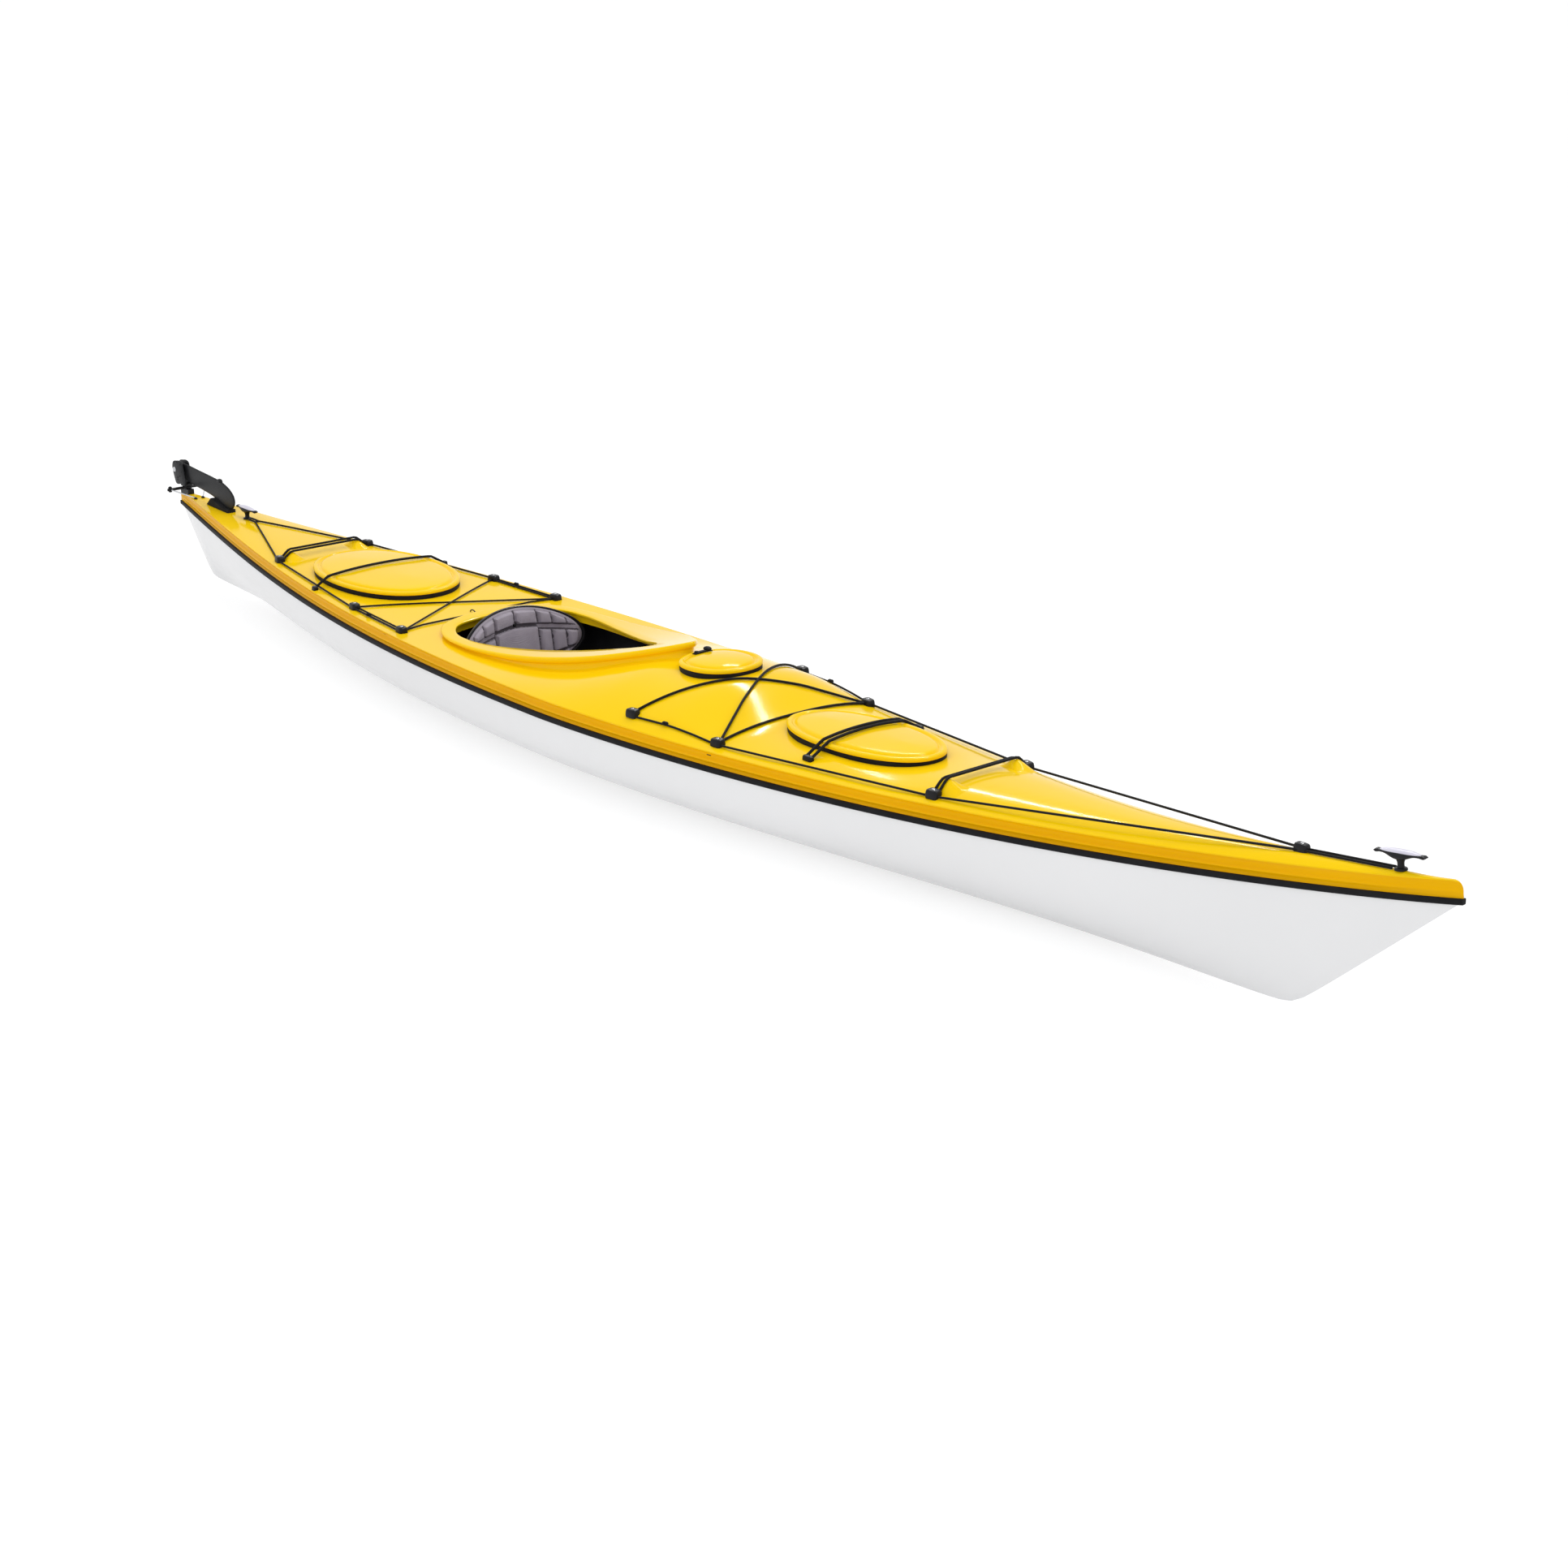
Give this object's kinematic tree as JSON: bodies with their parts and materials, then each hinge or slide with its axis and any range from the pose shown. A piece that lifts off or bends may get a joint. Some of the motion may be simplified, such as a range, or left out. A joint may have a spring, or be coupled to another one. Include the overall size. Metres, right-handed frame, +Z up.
{
  "type": "sea kayak",
  "caption": "Long touring sea kayak: glossy deck and hull, keyhole-like cockpit with seat and backrest, rubber-sealed hatches, deck lines, swivel handles and a lifting rudder.",
  "frame": {"origin": "on the flat of the keel, at the widest part of the hull, a little aft of the middle of the boat's length", "axes": "+X towards the bow, +Y to port, +Z up"},
  "size_m": [4.6926, 0.6116, 0.3945],
  "materials": {
    "hull_gelcoat": "gloss",
    "deck_gelcoat": "gloss",
    "edge_rubber": "matte",
    "gasket_rubber": "matte",
    "black_foam": "matte",
    "black_plastic": "satin",
    "pad_cloth": "matte woven cloth over foam",
    "cord_cloth": "braided",
    "rail_metal": "satin",
    "steel": "brushed"
  },
  "bodies": {
    "boat": {"hull_shell": "hull_gelcoat", "deck_shell": "deck_gelcoat", "seam_strip": "edge_rubber", "cockpit_coaming": "deck_gelcoat", "front_bulkhead": "black_foam", "rear_bulkhead": "black_foam", "day_hatch_pod": "black_plastic", "bow_hatch_gasket": "gasket_rubber", "day_hatch_gasket": "gasket_rubber", "stern_hatch_gasket": "gasket_rubber", "seat_rail_left": "black_plastic", "seat_rail_right": "black_plastic", "thigh_brace_left": "black_foam", "thigh_brace_right": "black_foam", "foot_rail_left": "rail_metal", "foot_rail_right": "rail_metal", "bow_deck_bungee": "cord_cloth", "stern_deck_bungee": "cord_cloth", "bow_paddle_bungee": "cord_cloth", "stern_paddle_bungee": "cord_cloth", "bow_deck_line": "cord_cloth", "stern_deck_line": "cord_cloth", "deck_fitting_a_left": "black_plastic", "deck_fitting_a_right": "black_plastic", "deck_fitting_b_left": "black_plastic", "deck_fitting_b_right": "black_plastic", "deck_fitting_d_left": "black_plastic", "deck_fitting_d_right": "black_plastic", "deck_fitting_f_left": "black_plastic", "deck_fitting_f_right": "black_plastic", "deck_fitting_h_left": "black_plastic", "deck_fitting_h_right": "black_plastic", "deck_fitting_i_left": "black_plastic", "deck_fitting_i_right": "black_plastic", "deck_fitting_nose": "black_plastic", "rudder_mount": "black_plastic", "rudder_pin": "steel", "rudder_chock": "black_foam", "steering_cable_left": "steel", "steering_cable_right": "steel"},
    "bow_lid": {"bow_hatch_cover": "deck_gelcoat", "bow_hatch_cord": "cord_cloth"},
    "day_lid": {"day_hatch_cover": "deck_gelcoat", "day_hatch_strap": "black_plastic"},
    "stern_lid": {"stern_hatch_cover": "deck_gelcoat", "stern_hatch_cord": "cord_cloth"},
    "bow_grip": {"bow_handle": "black_plastic"},
    "stern_grip": {"stern_handle": "black_plastic"},
    "seat": {"seat_pan": "black_plastic", "seat_pad": "pad_cloth"},
    "backrest": {"backrest_shell": "black_plastic", "backrest_pad": "pad_cloth"},
    "carrier_left": {"foot_carrier_left": "black_plastic"},
    "carrier_right": {"foot_carrier_right": "black_plastic"},
    "pedal_left": {"toe_pedal_left": "black_plastic"},
    "pedal_right": {"toe_pedal_right": "black_plastic"},
    "rudder_stock": {"tiller_bar": "black_plastic", "rudder_head": "black_plastic", "blade_bolt": "steel"},
    "blade": {"rudder_blade": "black_plastic"}
  },
  "joints": [
    {"name": "rudder_steer", "type": "hinge", "parent": "boat", "child": "rudder_stock", "pos_m": [-2.25987, 0, 0.29], "axis": [0, 0, 1], "range_deg": [-40, 40], "deforming": ["steering_cable_left", "steering_cable_right"]},
    {"name": "rudder_lift", "type": "hinge", "parent": "rudder_stock", "child": "blade", "pos_m": [-2.30787, 0, 0.33705], "axis": [0, -1, 0], "range_deg": [0, 250]},
    {"name": "bow_grip_turn", "type": "hinge", "parent": "boat", "child": "bow_grip", "pos_m": [2.2269, 0, 0.35115], "axis": [-0.121, 0, 0.9927], "range_deg": [-60, 60]},
    {"name": "stern_grip_turn", "type": "hinge", "parent": "boat", "child": "stern_grip", "pos_m": [-1.89501, 0, 0.25463], "axis": [0.0201, 0, 0.9998], "range_deg": [-60, 60]},
    {"name": "bow_lid_lift", "type": "slide", "parent": "boat", "child": "bow_lid", "axis": [0, 0, 1], "range_m": [0, 0.15]},
    {"name": "day_lid_lift", "type": "slide", "parent": "boat", "child": "day_lid", "axis": [0, 0, 1], "range_m": [0, 0.15]},
    {"name": "stern_lid_lift", "type": "slide", "parent": "boat", "child": "stern_lid", "axis": [0, 0, 1], "range_m": [0, 0.15]},
    {"name": "seat_slide", "type": "slide", "parent": "boat", "child": "seat", "axis": [1, 0, 0], "range_m": [-0.02, 0.04]},
    {"name": "backrest_tilt", "type": "hinge", "parent": "seat", "child": "backrest", "pos_m": [-0.51274, 0, 0.084], "axis": [0, 1, 0], "range_deg": [-4, 45]},
    {"name": "carrier_slide_left", "type": "slide", "parent": "boat", "child": "carrier_left", "axis": [0.9949, -0.1011, 0], "range_m": [-0.12, 0.17]},
    {"name": "pedal_swing_left", "type": "hinge", "parent": "carrier_left", "child": "pedal_left", "pos_m": [0.32336, 0.18952, 0.087], "axis": [0.1011, 0.9949, 0], "range_deg": [-18, 18]},
    {"name": "carrier_slide_right", "type": "slide", "parent": "boat", "child": "carrier_right", "axis": [0.9949, 0.1011, 0], "range_m": [-0.12, 0.17]},
    {"name": "pedal_swing_right", "type": "hinge", "parent": "carrier_right", "child": "pedal_right", "pos_m": [0.32336, -0.18952, 0.087], "axis": [-0.1011, 0.9949, 0], "range_deg": [-18, 18]}
  ],
  "couplings": [
    {"joint": "pedal_swing_left", "follows": "rudder_steer", "ratio": -0.45},
    {"joint": "pedal_swing_right", "follows": "rudder_steer", "ratio": 0.45}
  ]
}
